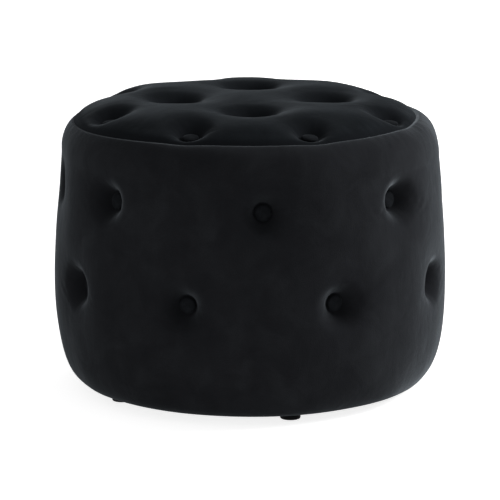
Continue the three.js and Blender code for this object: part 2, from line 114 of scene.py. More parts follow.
# Section of the side from the seam (0) to the turn under the base (3): a quarter ellipse for the
# shoulder, a line that bows inwards as a square above the widest height, and a quarter of a
# superellipse for the rounding above the base
def sideSection(stage):
    sideTop = body["seamHeight"] - body["shoulderHeight"]
    sideBottom = body["underHeight"] + body["underRounding"]
    shoulderRadius = body["radius"] - body["shoulderTaper"]
    first, middle, last = (np.clip(stage - i, 0, 1) for i in range(3))
    first, last = first * np.pi / 2, last * np.pi / 2
    height = np.where(stage < 1, body["seamHeight"] - body["shoulderHeight"] * (1 - np.cos(first)),
                      sideTop + (sideBottom - sideTop) * middle)
    shoulder = body["seamRadius"] + (shoulderRadius - body["seamRadius"]) * np.sin(first)
    above = np.clip(height - body["widestHeight"], 0, None) / (sideTop - body["widestHeight"])
    radius = np.where(stage < 1, shoulder, body["radius"] - body["shoulderTaper"] * above ** 2)
    power = 2 / body["underPower"]
    inward = 1 - np.clip(np.cos(last), 0, None) ** power
    rounding = body["radius"] - (body["radius"] - body["underRadius"]) * inward
    radius = np.where(stage > 2, rounding, radius)
    height = np.where(stage > 2, sideBottom - body["underRounding"] * np.sin(last) ** power, height)
    return radius, height


sectionRadius, sectionHeight = sideSection(np.linspace(0, 3, body["sectionPoints"]))
sectionSteps = np.hypot(np.diff(sectionRadius), np.diff(sectionHeight))
sectionDown = np.concatenate([[0], np.cumsum(sectionSteps)])
sideLength = sectionDown[-1]


# Place and outward direction on the smooth side, at an angle and a distance down from the seam
def sideSurface(angle, down):
    step = sideLength / body["slopeSteps"]
    below, above = np.clip(down + step, 0, sideLength), np.clip(down - step, 0, sideLength)

    def change(values):
        return np.interp(below, sectionDown, values) - np.interp(above, sectionDown, values)

    radius = np.interp(down, sectionDown, sectionRadius)
    height = np.interp(down, sectionDown, sectionHeight)
    runRadius, runHeight = change(sectionRadius), change(sectionHeight)
    run = np.hypot(runRadius, runHeight)
    return around(angle, radius, height), around(angle, -runHeight / run, runRadius / run)


# How far along the surface the seam lies outside its ring, as a raised cosine round the left side
def seamShift(angle):
    apart = (np.asarray(angle) - body["seamShiftAngle"] + 180) % 360 - 180
    bump = 0.5 + 0.5 * np.cos(np.pi * np.clip(apart / body["seamShiftWidth"], -1, 1))
    return body["seamShift"] * bump ** body["seamShiftPower"]


# Height of the crown at a share of the way out to the seam: it falls as a power of that share
def crownHeight(seamHeight, share):
    return seamHeight + (body["crownTop"] - seamHeight) * (1 - share ** body["crownPower"])


# Place on the smooth top, at an angle and a share of the way out to the seam
def topSurface(angle, share):
    down = seamShift(angle)
    seamRadius = np.interp(down, sectionDown, sectionRadius)
    seamHeight = np.interp(down, sectionDown, sectionHeight)
    return around(angle, seamRadius * share, crownHeight(seamHeight, share))


# A tuft: its place on the smooth form, the way its button faces, two directions across its seat,
# and the phases of its puckers
def makeTuft(place, out, kind):
    onSide = kind == "side"
    across = unit(np.cross(upward, out)) if onSide else np.array([1, 0, 0])
    seat = place - (out if onSide else upward) * tufts[kind]["depth"]
    return {"place": place, "out": out, "across": across, "along": np.cross(out, across),
            "seat": seat, "phases": chance.uniform(0, 2 * np.pi, len(tufts["puckerCounts"])),
            **tufts[kind]}


def topTufts(row, tilt=0):
    radius, lean = tufts[row + "Ring"], math.radians(tilt)
    height = crownHeight(body["seamHeight"], radius / body["seamRadius"])
    return [makeTuft(around(angle, radius, height), around(angle, math.sin(lean), math.cos(lean)),
                     row) for angle in tufts[row + "Angles"]]


def sideTufts(row):
    angles = np.array(tufts[row + "Angles"])
    down = np.full(len(angles), np.interp(-tufts[row + "Height"], -sectionHeight, sectionDown))
    return [makeTuft(place, out, "side") for place, out in zip(*sideSurface(angles, down))]


tuftRows = {
    "inner": topTufts("inner"),
    "outer": topTufts("outer", tufts["outerTilt"]),
    "upper": sideTufts("upper"),
    "lower": sideTufts("lower"),
}
topTuftList = tuftRows["inner"] + tuftRows["outer"]
sideTuftList = tuftRows["upper"] + tuftRows["lower"]


# Distance beyond the edge of a tuft's seat
def beyondSeat(places, tuft):
    return np.linalg.norm(places - tuft["place"], axis=1) - tufts["seatRadius"]


# How much of a dimple's depth is left beyond its seat, in a steep hollow and a wide soft one,
# which both fall as a square
def dimpleShare(tuft, beyond):
    steep, wide = (1 - np.clip(beyond / (tuft[reach] - tufts["seatRadius"]), 0, 1)
                   for reach in ("reach", "wideReach"))
    return (1 - tufts["wideShare"]) * steep ** 2 + tufts["wideShare"] * wide ** 2


# The side sinks along its own outward direction, by each tuft's depth times its share
def sideDepth(places):
    return sum(tuft["depth"] * dimpleShare(tuft, beyondSeat(places, tuft))
               for tuft in sideTuftList)


# The top sinks straight down, from its crown to the plane of each seat times the tuft's share
def topDepth(places):
    depth = np.zeros(len(places))
    for tuft in topTuftList:
        offset = places - tuft["place"]
        seat = tuft["seat"][2] - (offset[:, :2] @ tuft["out"][:2]) / tuft["out"][2]
        beyond = np.hypot(offset[:, 0], offset[:, 1]) - tufts["seatRadius"]
        depth += dimpleShare(tuft, beyond) * np.clip(places[:, 2] - seat, 0, None)
    return depth


# Small relief of the cloth

relief = {
    "uneven": 0.0006,  # slow unevenness of the foam under the velvet
    "unevenWaves": 14,
    "unevenLengths": (0.06, 0.16),
    "unevenFadeIn": 2,  # it is full at this many pucker peaks from a seat
    "pucker": 0.0003,  # radial puckers round a button
    "puckerPeak": 0.006,  # they are highest this far from the seat
    "seamPucker": 0.00015,
    "seamPuckerFade": 0.011,
    "seamPuckerCounts": (61, 83, 102),
    "seamGroove": 0.0019,
    "seamGrooveWidth": 0.0036,
    "uprightGroove": 0.0024,
    "uprightGrooveWidth": 0.0045,
}

unevenWays = chance.normal(size=(relief["unevenWaves"], 3))
unevenWays /= np.linalg.norm(unevenWays, axis=1, keepdims=True)
unevenWays *= 2 * np.pi / chance.uniform(*relief["unevenLengths"], relief["unevenWaves"])[:, None]
unevenPhases = chance.uniform(0, 2 * np.pi, relief["unevenWaves"])
seamPhases = chance.uniform(0, 2 * np.pi, len(relief["seamPuckerCounts"]))


# Sum of sines of a turn in radians, at several counts of waves
def ripples(turn, counts, phases):
    return sum(np.sin(count * turn + phase) for count, phase in zip(counts, phases))


# Height over the smooth dimples: slow sines in space that are still on the seats, and round each
# button the mean of some sines of the turn, which rises from its seat and fades outwards
def clothRelief(places, tuftList):
    height = np.sin(places @ unevenWays.T + unevenPhases).sum(axis=1)
    height *= relief["uneven"] / math.sqrt(relief["unevenWaves"] / 2)
    for tuft in tuftList:
        offset = places - tuft["place"]
        beyond = np.clip(beyondSeat(places, tuft), 0, None) / relief["puckerPeak"]
        turn = np.arctan2(offset @ tuft["along"], offset @ tuft["across"])
        mean = ripples(turn, tufts["puckerCounts"], tuft["phases"]) / len(tufts["puckerCounts"])
        height *= smoothStep(0, relief["unevenFadeIn"], beyond)
        height += relief["pucker"] * mean * beyond * np.exp(1 - beyond)
    return height


# Depth of the groove at the top seam, and of the little puckers in the cloth beside it
def seamDepth(angle, distance):
    counts = relief["seamPuckerCounts"]
    ripple = ripples(np.radians(angle), counts, seamPhases)
    beside = distance / relief["seamPuckerFade"]
    return (relief["seamGroove"] * np.exp(-(distance / relief["seamGrooveWidth"]) ** 2)
            + relief["seamPucker"] * ripple / len(counts) * beside * np.exp(1 - beside))


# Colours and materials

# An sRGB colour in hex, turned to linear by the curve that sRGB defines
def linear(hexColour):
    parts = [int(hexColour[i:i + 2], 16) / 255 for i in (0, 2, 4)]
    parts = [p / 12.92 if p <= 0.04045 else ((p + 0.055) / 1.055) ** 2.4 for p in parts]
    return (*parts, 1)


# Adds a node. A setting sets an input by its name or number, stops fill a colour ramp, and any
# other sets the node itself. Links lead from sockets to inputs.
def addNode(tree, kind, settings=None, links=None):
    node = tree.nodes.new("ShaderNode" + kind)
    for key, value in (settings or {}).items():
        if key == "stops":
            elements = node.color_ramp.elements
            while len(elements) < len(value):
                elements.new(0.5)
            for element, (position, colour) in zip(elements, value):
                element.position = position
                element.color = linear(colour)
        elif isinstance(key, int) or key in node.inputs.keys():
            node.inputs[key].default_value = value
        else:
            setattr(node, key, value)
    for key, socket in (links or {}).items():
        tree.links.new(socket, node.inputs[key])
    return node


# A material with constant values on its shader's own inputs
def newMaterial(name, values):
    material = bpy.data.materials.new(name)
    material.use_nodes = True
    shader = material.node_tree.nodes["Principled BSDF"]
    for key, value in values.items():
        shader.inputs[key].default_value = value
    return material, material.node_tree, shader


# A pattern of scale s repeats about every 1/s metres
velvetLook = {
    "stops": [(0.3, "202124"), (0.5, "27282b"), (0.7, "303235")],
    "pullShadingColour": "232427",  # where the cloth is pulled tight: painted shade on the hollows' lips and below the seam
    "roughRange": (0.75, 0.95),  # with the lean of the pile
    "sheen": 0.5,
    "sheenRoughness": 0.36,
    "sheenTint": "d4dee6",
    "specular": 0,
    "brush": {"Scale": 22, "Detail": 3, "Roughness": 0.55, "Distortion": 0.6},  # 45 mm patches
    "streaks": {"Scale": 60, "Detail": 4},  # 16 mm apart
    "streakStretch": (1, 0.3, 1),  # which makes them upright
    "streakShare": 0.25,  # how much of the lean comes from the streaks
    "pile": {"Scale": 700, "Detail": 2},  # 1.4 mm apart, coarser than real pile, to show
    "pileShare": 0.35,  # how much of the shade comes from the pile
    "leanBump": {"Strength": 0.5, "Distance": 0.003},
    "pileBump": {"Strength": 0.6, "Distance": 0.0004},
}


# Velvet, woven with a cut pile: almost black, soft at its edges where the pile catches the light,
# with patches where the pile leans another way, faint upright streaks and a fine grain
def velvetMaterial(name, look):
    material, tree, shader = newMaterial(name, {
        "Sheen Weight": look["sheen"], "Sheen Roughness": look["sheenRoughness"],
        "Sheen Tint": linear(look["sheenTint"]), "Specular IOR Level": look["specular"]})
    cloth = addNode(tree, "UVMap", {"uv_map": "clothMetres"}).outputs["UV"]
    upright = addNode(tree, "Mapping", {"Scale": look["streakStretch"]},
                      {"Vector": cloth}).outputs["Vector"]
    brush = addNode(tree, "TexNoise", look["brush"], {"Vector": cloth})
    streaks = addNode(tree, "TexNoise", look["streaks"], {"Vector": upright})
    pile = addNode(tree, "TexNoise", look["pile"], {"Vector": cloth}).outputs["Fac"]
    lean = addNode(tree, "Mix", {"data_type": "FLOAT", 0: look["streakShare"]},
                   {2: brush.outputs["Fac"], 3: streaks.outputs["Fac"]}).outputs[0]
    grain = addNode(tree, "Mix", {"data_type": "FLOAT", 0: look["pileShare"]},
                    {2: lean, 3: pile}).outputs[0]
    shade = addNode(tree, "ValToRGB", {"stops": look["stops"]}, {"Fac": grain})
    # Painted shading: round each tuft and beside the seam the colour turns towards a colour of its
    # own, as painted shade or light
    pulled = addNode(tree, "Attribute", {"attribute_name": "pulled"}).outputs["Fac"]
    colour = addNode(tree, "Mix", {"data_type": "RGBA", 7: linear(look["pullShadingColour"])},
                     {0: pulled, 6: shade.outputs["Color"]}).outputs[2]
    tree.links.new(colour, shader.inputs["Base Color"])
    rough = addNode(tree, "MapRange", {
        "From Min": look["stops"][0][0], "From Max": look["stops"][-1][0],
        "To Min": look["roughRange"][0], "To Max": look["roughRange"][1]}, {"Value": lean})
    tree.links.new(rough.outputs["Result"], shader.inputs["Roughness"])
    leaning = addNode(tree, "Bump", look["leanBump"], {"Height": lean}).outputs["Normal"]
    bump = addNode(tree, "Bump", look["pileBump"], {"Height": pile, "Normal": leaning})
    tree.links.new(bump.outputs["Normal"], shader.inputs["Normal"])
    return material


# The top panel: the same velvet with darker colours, which are painted shade on the top, and with
# less sheen
shadedTopLook = {
    **velvetLook,
    "stops": [(0.3, "131618"), (0.5, "1a1d20"), (0.7, "24282c")],
    # lighter than the top's own colours: painted light in its hollows and beside the seam
    "pullShadingColour": "1f2124",
    "sheen": 0.17,
}

# Round a button the pile is pulled flat and shines less
buttonLook = {
    **velvetLook,
    "stops": [(0.3, "1a1c1e"), (0.5, "222427"), (0.7, "2a2c2f")],
    "sheen": 0.08,
    "brush": {**velvetLook["brush"], "Scale": 120},  # 8 mm patches
    "streaks": {**velvetLook["streaks"], "Scale": 300},  # 3 mm apart
    "leanBump": {"Strength": 0.5, "Distance": 0.0005},
}

velvet = velvetMaterial("cutPileVelvet", velvetLook)
shadedTopVelvet = velvetMaterial("shadedTopVelvet", shadedTopLook)
buttonVelvet = velvetMaterial("stretchedButtonVelvet", buttonLook)


# A material whose colour follows a pattern on the piece's own Object coordinates. Its roughness
# may follow it too, and its relief either that pattern or one of its own, named grain.
def patternMaterial(name, look):
    material, tree, shader = newMaterial(name, look.get("values", {}))
    place = addNode(tree, "TexCoord").outputs["Object"]
    if "mapping" in look:
        place = addNode(tree, "Mapping", look["mapping"], {"Vector": place}).outputs["Vector"]

    def pattern(key):
        kind, output, settings = look[key]
        return addNode(tree, "Tex" + kind, settings, {"Vector": place}).outputs[output]

    shade = pattern("shade")
    ramp = addNode(tree, "ValToRGB", {"stops": look["stops"]}, {"Fac": shade})
    tree.links.new(ramp.outputs["Color"], shader.inputs["Base Color"])
    if "roughRange" in look:
        low, high = look["roughRange"]
        rough = addNode(tree, "MapRange", {"To Min": low, "To Max": high}, {"Value": shade})
        tree.links.new(rough.outputs["Result"], shader.inputs["Roughness"])
    if "bump" in look:
        bump = addNode(tree, "Bump", look["bump"],
                       {"Height": pattern("grain") if "grain" in look else shade})
        tree.links.new(bump.outputs["Normal"], shader.inputs["Normal"])
    return material


# Mesh helpers

# Values for the rows and the columns of a grid, at each of its points
def gridPlaces(rowValues, columnValues):
    return [grid.ravel() for grid in np.meshgrid(rowValues, columnValues, indexing="ij")]


# Quads of a grid of rows by columns, closed round its columns or its rows where asked
def gridFaces(rows, columns, wrapColumns=False, wrapRows=False):
    row, column = gridPlaces(np.arange(rows if wrapRows else rows - 1),
                             np.arange(columns if wrapColumns else columns - 1))
    here, below = row * columns, (row + 1) % rows * columns
    after = (column + 1) % columns
    return rowsOf(here + column, below + column, below + after, here + after)


# Makes a piece from its points and from arrays of faces with three or four corners. The places on
# the flat cloth, in metres, become its UV map, and the last array holds the share of painted
# shading on each point.
def newPiece(name, verts, faceSets, material, slot=None, clothPlaces=None, pulled=None):
    verts = np.asarray(verts, dtype=np.float32)
    faceSets = [np.asarray(faces, dtype=np.int32) for faces in faceSets]
    corners = np.concatenate([faces.ravel() for faces in faceSets])
    counts = np.concatenate([np.full(len(faces), faces.shape[1]) for faces in faceSets])
    starts = np.concatenate([[0], np.cumsum(counts)[:-1]])
    mesh = bpy.data.meshes.new(name)
    mesh.vertices.add(len(verts))
    mesh.vertices.foreach_set("co", verts.ravel())
    mesh.loops.add(len(corners))
    mesh.loops.foreach_set("vertex_index", corners)
    mesh.polygons.add(len(counts))
    mesh.polygons.foreach_set("loop_start", starts.astype(np.int32))
    mesh.update(calc_edges=True)
    mesh.polygons.foreach_set("use_smooth", np.ones(len(counts), dtype=bool))
    if clothPlaces is not None:
        layer = mesh.uv_layers.new(name="clothMetres")
        layer.uv.foreach_set("vector", np.asarray(clothPlaces, dtype=np.float32)[corners].ravel())
    if pulled is not None:
        attribute = mesh.attributes.new("pulled", "FLOAT", "POINT")
        attribute.data.foreach_set("value", pulled.astype(np.float32))
    if material:
        mesh.materials.append(material)
    piece = bpy.data.objects.new(name, mesh)
    bpy.context.collection.objects.link(piece)
    if slot:
        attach(piece, "root")
    return piece


# Velvet over foam

skin = {
    "rows": 226,
    "nearRows": 0.3,  # spacing of the rows at the seam, as a share of the mean
    "turnedRows": 8,
    "columnsPerDegree": 2,
    "topCount": 181,
    "topNearPower": 1.3,  # above 1 draws the top's points towards the seam
    "seamAngles": (106, 261),  # where the two lengths of the band meet
    "insideRadius": 0.2256,  # foam against the wall of the drum
    "insideGap": 0.0002,  # between seat foam and side foam
    "insideLow": 0.0127,
    "insideHigh": 0.3043,
    "insideTop": 0.368,
    "clothPlaceRadius": 0.25,
    "seamDipFade": 0.04,
    "reliefFade": 0.02,  # relief and swelling fade out this near to an edge
    "pullShadingReach": 0.075,  # shading is painted this far round a tuft, where the cloth is pulled tight
    "pullShadingSeamSide": 0.03,  # and this far below the seam
    "pullShadingSeamTop": 0.006,  # and on the top panel
    "pullShadingMost": 0.9,
}

swell = {
    "columns": 240,
    "rows": 66,
    "topCount": 61,
    "frames": 20,
    "quality": 5,
    "pressure": 12,
    "pinMargin": 0.001,  # cloth this near to a seat is pinned too
    "cap": 0.008,
    "openFrom": 0.022,  # the swelling is full from this far past a seat
}


# Points of the top on a square grid bent to a disc: both ways the steps are root two times the
# sine of even angles up to 45 degrees, which spaces its border points evenly round the seam
def topGrid(count):
    steps = np.sqrt(2) * np.sin(np.radians(np.linspace(-45, 45, count)))
    u, v = np.meshgrid(steps, steps, indexing="xy")
    x = u * np.sqrt(1 - v ** 2 / 2)
    y = v * np.sqrt(1 - u ** 2 / 2)
    share = 1 - (1 - np.minimum(np.hypot(x, y).ravel(), 1)) ** skin["topNearPower"]
    return np.degrees(np.arctan2(x, -y)).ravel(), share


# The tufted side and top, before their relief. Where the outer seats reach the seam, it dips, and
# the band beside it too.
def tuftedSide(angle, down):
    shifted = down + seamShift(angle) * np.clip(1 - down / body["seamShiftFade"], 0, 1) ** 2
    place, out = sideSurface(angle, shifted)
    points = place - out * sideDepth(place)[:, None]
    near = np.flatnonzero(down < skin["seamDipFade"])
    dip = topDepth(topSurface(angle[near], np.ones(len(near))))
    points[near, 2] -= dip * (1 - smoothStep(0, skin["seamDipFade"], down[near]))
    return points, place, out


def tuftedTop(angle, share):
    place = topSurface(angle, share)
    return place - upward * topDepth(place)[:, None], place


# Angles from 0 up to 360, rounded so that the first border point isn't taken for the last
def wholeTurn(angle):
    return np.round(angle % 360, 3) % 360


# Border points of a square grid, in the order of their angle from 0 up
def borderOrder(angle, count):
    index = np.arange(count * count).reshape(count, -1)
    border = np.unique(np.concatenate([index[0], index[-1], index[:, 0], index[:, -1]]))
    return border[np.argsort(wholeTurn(angle[border]))]


# Cloth simulation of the whole cover: air pressure swells it between its seats, its top seam and
# its edge under the base, which stay pinned. Gives the moves of both grids and keeps their means,
# which are taken off again so that the outline keeps its size.
def simulateSwelling():
    rows, columns, topCount = swell["rows"], swell["columns"], swell["topCount"]
    topAngle, share = topGrid(topCount)
    topPoints, _ = tuftedTop(topAngle, share)
    down, angle = gridPlaces(np.linspace(0, sideLength, rows), np.arange(columns) * 360 / columns)
    sidePoints, _, out = tuftedSide(angle, down)
    topTotal = len(topPoints)
    number = topTotal + np.arange(rows * columns).reshape(rows, columns) - columns
    number[0] = borderOrder(topAngle, topCount)
    points = np.concatenate([topPoints, sidePoints[columns:]])
    sideFaces = number.ravel()[gridFaces(rows, columns, wrapColumns=True)]
    cover = newPiece("swellingCover", points,
                     [sideFaces, gridFaces(topCount, topCount)[:, ::-1]], None)

    seats = np.array([tuft["seat"] for tuft in topTuftList + sideTuftList])
    nearest = np.linalg.norm(points[:, None] - seats[None], axis=2).min(axis=1)
    pinned = nearest < tufts["seatRadius"] + swell["pinMargin"]
    pinned[number[[0, -1]]] = True
    group = cover.vertex_groups.new(name="pins")
    group.add(np.flatnonzero(pinned).tolist(), 1, "REPLACE")
    cloth = cover.modifiers.new("cloth", "CLOTH")
    cloth.settings.vertex_group_mass = "pins"
    cloth.settings.use_pressure = True
    cloth.settings.uniform_pressure_force = swell["pressure"]
    cloth.settings.effector_weights.gravity = 0
    cloth.settings.quality = swell["quality"]
    cloth.collision_settings.use_collision = False
    scene = bpy.context.scene
    for frameNumber in range(1, swell["frames"] + 1):
        scene.frame_set(frameNumber)
    shaped = cover.evaluated_get(bpy.context.evaluated_depsgraph_get()).to_mesh()
    moved = np.empty(len(points) * 3, dtype=np.float32)
    shaped.vertices.foreach_get("co", moved)
    moved = moved.reshape(-1, 3) - points
    scene.frame_set(1)
    bpy.data.objects.remove(cover)

    length = np.linalg.norm(moved, axis=1, keepdims=True)
    report(f"swelling: mean {length.mean() * 1000:.1f} mm, most {length.max() * 1000:.1f} mm")
    moved *= np.minimum(1, swell["cap"] / np.maximum(length, 1e-9))
    topMoves, sideMoves = moved[:topTotal], moved[number.ravel()]
    swell["sideMean"] = float((sideMoves * out).sum(axis=1).mean())
    swell["topMean"] = float(topMoves[:, 2].mean())
    return topMoves.reshape(topCount, topCount, 3), sideMoves.reshape(rows, columns, 3)


# Weights of four neighbours in a smooth cubic, at a part of the way between the middle two: each
# row holds the shares of 1, the part, its square and its cube
def cubicWeights(part):
    shares = np.array([[0, -1, 2, -1], [2, 0, -5, 3], [0, 1, 4, -3], [0, 0, -1, 1]]) / 2
    return shares @ [part ** power for power in range(4)]


# Moves of a coarse grid at places between its points, by that cubic each way
def spreadMoves(moves, rowPlace, columnPlace, wrapColumns):
    rows, columns = moves.shape[:2]
    row, column = np.floor(rowPlace).astype(int), np.floor(columnPlace).astype(int)
    spread = np.zeros((len(rowPlace), 3))
    for i, rowWeight in enumerate(cubicWeights(rowPlace - row)):
        for j, columnWeight in enumerate(cubicWeights(columnPlace - column)):
            r, c = np.clip(row + i - 1, 0, rows - 1), column + j - 1
            c = c % columns if wrapColumns else np.clip(c, 0, columns - 1)
            spread += moves[r, c] * (rowWeight * columnWeight)[:, None]
    return spread


# How free the cloth is: still on the seats, and free from a short way past them
def freeShare(places, tuftList):
    return np.prod([smoothStep(0, swell["openFrom"], beyondSeat(places, tuft))
                    for tuft in tuftList], axis=0)


# How much painted shading the cloth takes where it is pulled tight: most on the seats and at the
# seam, falling as a square round a tuft and as a bell beside the seam
def pullShadingShare(places, tuftList, fromSeam, seamWidth):
    pulled = np.exp(-(fromSeam / seamWidth) ** 2)
    for tuft in tuftList:
        beyond = np.clip(beyondSeat(places, tuft) / skin["pullShadingReach"], 0, 1)
        pulled = np.maximum(pulled, (1 - beyond) ** 2)
    return skin["pullShadingMost"] * pulled


# Flat end of a length of the band: a fan from its outer points to their partners among the inside
# ones, and a turn wherever the partner changes
def endCap(section, outerRows):
    high = section[:, 2]
    pastWall = np.hypot(section[:, 0], section[:, 1]) >= skin["insideRadius"]
    partner = outerRows + np.select(
        [high > skin["insideHigh"], high > body["widestHeight"], pastWall], [3, 2, 1], 0)
    outer = np.arange(outerRows)
    fan = rowsOf(outer[:-1], outer[1:], partner[:-1])
    step = np.flatnonzero(partner[1:] != partner[:-1])
    turns = rowsOf(outer[1:][step], partner[1:][step], partner[:-1][step])
    return np.concatenate([fan, turns])


# One length of the band, as a closed form: velvet outside from the top seam to its edge under the
# base, then foam inside along the drum, with a flat end at each upright seam
def bandLength(name, start, end, moves):
    columns = round((end - start) * skin["columnsPerDegree"]) + 1
    columnAngle = np.linspace(start, end, columns)
    share = np.linspace(0, 1, skin["rows"])
    rowDown = sideLength * (skin["nearRows"] * share + (1 - skin["nearRows"]) * share ** 2)
    down, angle = gridPlaces(rowDown, columnAngle)
    points, place, out = tuftedSide(angle, down)
    loose = smoothStep(0, skin["reliefFade"], np.minimum(down, sideLength - down))
    points += out * (clothRelief(place, sideTuftList) * loose)[:, None]
    if moves is not None:
        spread = spreadMoves(moves, down / sideLength * (swell["rows"] - 1),
                             angle % 360 / 360 * swell["columns"], True)
        spread -= out * swell["sideMean"]
        points += spread * (freeShare(place, sideTuftList) * loose)[:, None]
    points[:, 2] -= seamDepth(angle, down)
    aside = np.radians(np.minimum(angle - start, end - angle)) * body["radius"]
    groove = relief["uprightGroove"] * np.exp(-(aside / relief["uprightGrooveWidth"]) ** 2)
    groove *= (smoothStep(0, 2 * relief["seamGrooveWidth"], down)
               * smoothStep(0, skin["seamDipFade"], sideLength - down))
    points -= out * groove[:, None]

    lastRow = points[-columns:]
    lastRadius = np.hypot(lastRow[:, 0], lastRow[:, 1])
    part = np.arange(1, skin["turnedRows"] + 1)[:, None] / skin["turnedRows"]
    inward = 1 + (body["turnedRadius"] / lastRadius - 1) * part
    turned = (lastRow * rowsOf(inward, inward, 1)).reshape(-1, 3)
    wall, low, high = skin["insideRadius"], skin["insideLow"], skin["insideHigh"]
    inside = [around(columnAngle, radius, height) for radius, height in (
        (body["turnedRadius"], low), (wall, low), (wall, high), (wall, skin["insideTop"]))]
    points = np.concatenate([points, turned, *inside])
    rows = skin["rows"] + skin["turnedRows"] + len(inside)
    outerRows = rows - len(inside)
    faces = gridFaces(rows, columns, wrapRows=True)
    cap = endCap(points.reshape(rows, columns, 3)[:outerRows, 0], outerRows) * columns
    caps = np.concatenate([cap[:, ::-1], cap + columns - 1])

    turnedWidth = body["underRadius"] - body["turnedRadius"]
    turnedDown = sideLength + turnedWidth * np.linspace(0, 1, rows - skin["rows"])
    clothDown, across = gridPlaces(np.concatenate([rowDown, turnedDown]),
                                   np.radians(columnAngle) * skin["clothPlaceRadius"])
    pulled = np.zeros(len(points))
    pulled[:len(place)] = pullShadingShare(place, sideTuftList, down, skin["pullShadingSeamSide"])
    return newPiece(name, points, [faces, caps], velvet, "velvet",
                    rowsOf(across, -clothDown), pulled)


# The top panel, as a closed form: velvet above, then foam down the seam's ring to the top board
def topPanel(moves):
    count = skin["topCount"]
    angle, share = topGrid(count)
    points, place = tuftedTop(angle, share)
    fromSeam = (1 - share) * body["seamRadius"]
    loose = smoothStep(0, skin["reliefFade"], fromSeam)
    points[:, 2] += clothRelief(place, topTuftList) * loose
    if moves is not None:
        grid = np.arange(count) * (swell["topCount"] - 1) / (count - 1)
        spread = spreadMoves(moves, *gridPlaces(grid, grid), False)
        spread[:, 2] -= swell["topMean"]
        points += spread * (freeShare(place, topTuftList) * loose)[:, None]
    points[:, 2] -= seamDepth(angle, fromSeam)

    total = len(points)
    border = borderOrder(angle, count)
    columnAngle = np.sort(wholeTurn(angle[border]))
    rings = [around(columnAngle, skin["insideRadius"] - skin["insideGap"], height)
             for height in (skin["insideTop"], skin["insideHigh"])]
    points = np.concatenate([points, *rings, [[0, 0, skin["insideHigh"]]]])
    high = total + np.arange(len(border))
    low = high + len(border)
    strips = np.concatenate([border, high, low])[gridFaces(3, len(border), wrapColumns=True)]
    fan = rowsOf(np.roll(low, -1), low, len(points) - 1)
    pulled = np.zeros(len(points))
    pulled[:total] = pullShadingShare(place, topTuftList, fromSeam, skin["pullShadingSeamTop"])
    return newPiece("seatPanel", points, [gridFaces(count, count)[:, ::-1], strips, fan],
                    shadedTopVelvet, "velvet", points[:, :2], pulled)


topMoves, sideMoves = simulateSwelling()
firstSeam, secondSeam = skin["seamAngles"]
frontBand = bandLength("frontBand", secondSeam - 360, firstSeam, sideMoves)
rearBand = bandLength("rearBand", firstSeam, secondSeam, sideMoves)
seatPanel = topPanel(topMoves)
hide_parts("front_cover", "side_foam")
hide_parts("rear_cover")
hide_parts("top_cover", "seat_foam")
report("velvet")


# Turned shapes

# Points and faces of a profile turned round an upright axis. With poles, its first and last
# points lie on the axis and are single points; otherwise the profile closes on itself.
def turnedShape(profile, columns, poles):
    radius, height = (profile[1:-1] if poles else profile).T[:, :, None]
    turn = np.arange(columns) * 2 * np.pi / columns
    points = rowsOf(radius * np.cos(turn), radius * np.sin(turn), height).reshape(-1, 3)
    faces = [gridFaces(len(radius), columns, wrapColumns=True, wrapRows=not poles)]
    if poles:
        total, base = len(points), len(points) - columns
        start = np.arange(columns)
        after = (start + 1) % columns
        points = np.concatenate([points, [[0, 0, profile[0, 1]], [0, 0, profile[-1, 1]]]])
        faces.append(rowsOf(total, start, after))
        faces.append(rowsOf(base + after, base + start, total + 1))
    return points, faces


# Rounds each corner of a closed profile: the quadratic mean of the corner and of two points at a
# given length from it
def roundedProfile(corners, count):
    part = np.linspace(0, 1, count)[:, None]
    curves = []
    for i, (radius, height, rounding) in enumerate(corners):
        corner = np.array([radius, height])
        before = np.array(corners[i - 1][:2]) - corner
        after = np.array(corners[(i + 1) % len(corners)][:2]) - corner
        first, last = corner + unit(before) * rounding, corner + unit(after) * rounding
        curves.append((1 - part) ** 2 * first + 2 * part * (1 - part) * corner + part ** 2 * last)
    return np.concatenate(curves)


# Covered buttons

button = {
    "radius": 0.01125,
    "rimHeight": 0.0014,
    "height": 0.0052,
    "power": 2.4,  # of the superellipse that rounds it
    "under": [(0.0003, 0.0007), (0.0009, 0.0002), (0.002, 0), (0.005, 0)],  # in from the rim, up
    "shank": [(0.003, 0), (0.003, -0.0056), (0, -0.0056)],
    "lift": 0.0003,
    "pleats": 22,
    "pleatHeight": 0.00016,
    "pleatFrom": 0.7,  # share of the radius at which the pleats begin
    "pleatPhase": 6,  # radians by which one button's pleats may be ahead
    "tilt": 3,  # degrees by which no two buttons sit alike
    "columns": 66,
    "domeRows": 14,
}


# A dome that is a quarter of a superellipse, with cloth pleated round its rim, and a shank
def coveredButton(name, node, tuft):
    edge = button["radius"]
    turn = np.linspace(0, np.pi / 2, button["domeRows"])
    power = 2 / button["power"]
    rise = button["height"] - button["rimHeight"]
    dome = rowsOf(edge * np.sin(turn) ** power,
                  button["rimHeight"] + rise * np.clip(np.cos(turn), 0, 1) ** power)
    under = [(edge - inward, up) for inward, up in button["under"]]
    profile = np.concatenate([dome, under, button["shank"]])
    points, faces = turnedShape(profile, button["columns"], True)
    out = unit(tuft["out"] + math.radians(button["tilt"]) * (
        tuft["across"] * chance.uniform(-1, 1) + tuft["along"] * chance.uniform(-1, 1)))
    across = unit(np.cross(tuft["along"], out))
    along = np.cross(out, across)
    radius = np.hypot(points[:, 0], points[:, 1])
    turn = np.arctan2(points[:, 1], points[:, 0])
    phase = chance.uniform(0, button["pleatPhase"])
    pleat = button["pleatHeight"] * np.sin(button["pleats"] * turn + phase)
    onRim = smoothStep(button["pleatFrom"] * edge, edge, radius)
    points[:, 2] += pleat * onRim * (points[:, 2] > 0)
    flat = points[:, :2].copy()
    points = points + [0, 0, button["lift"]]
    places = (tuft["seat"] + points[:, :1] * across + points[:, 1:2] * along
              + points[:, 2:] * out)
    piece = newPiece(name, places, faces, buttonVelvet, "button_velvet", flat)
    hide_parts(node)


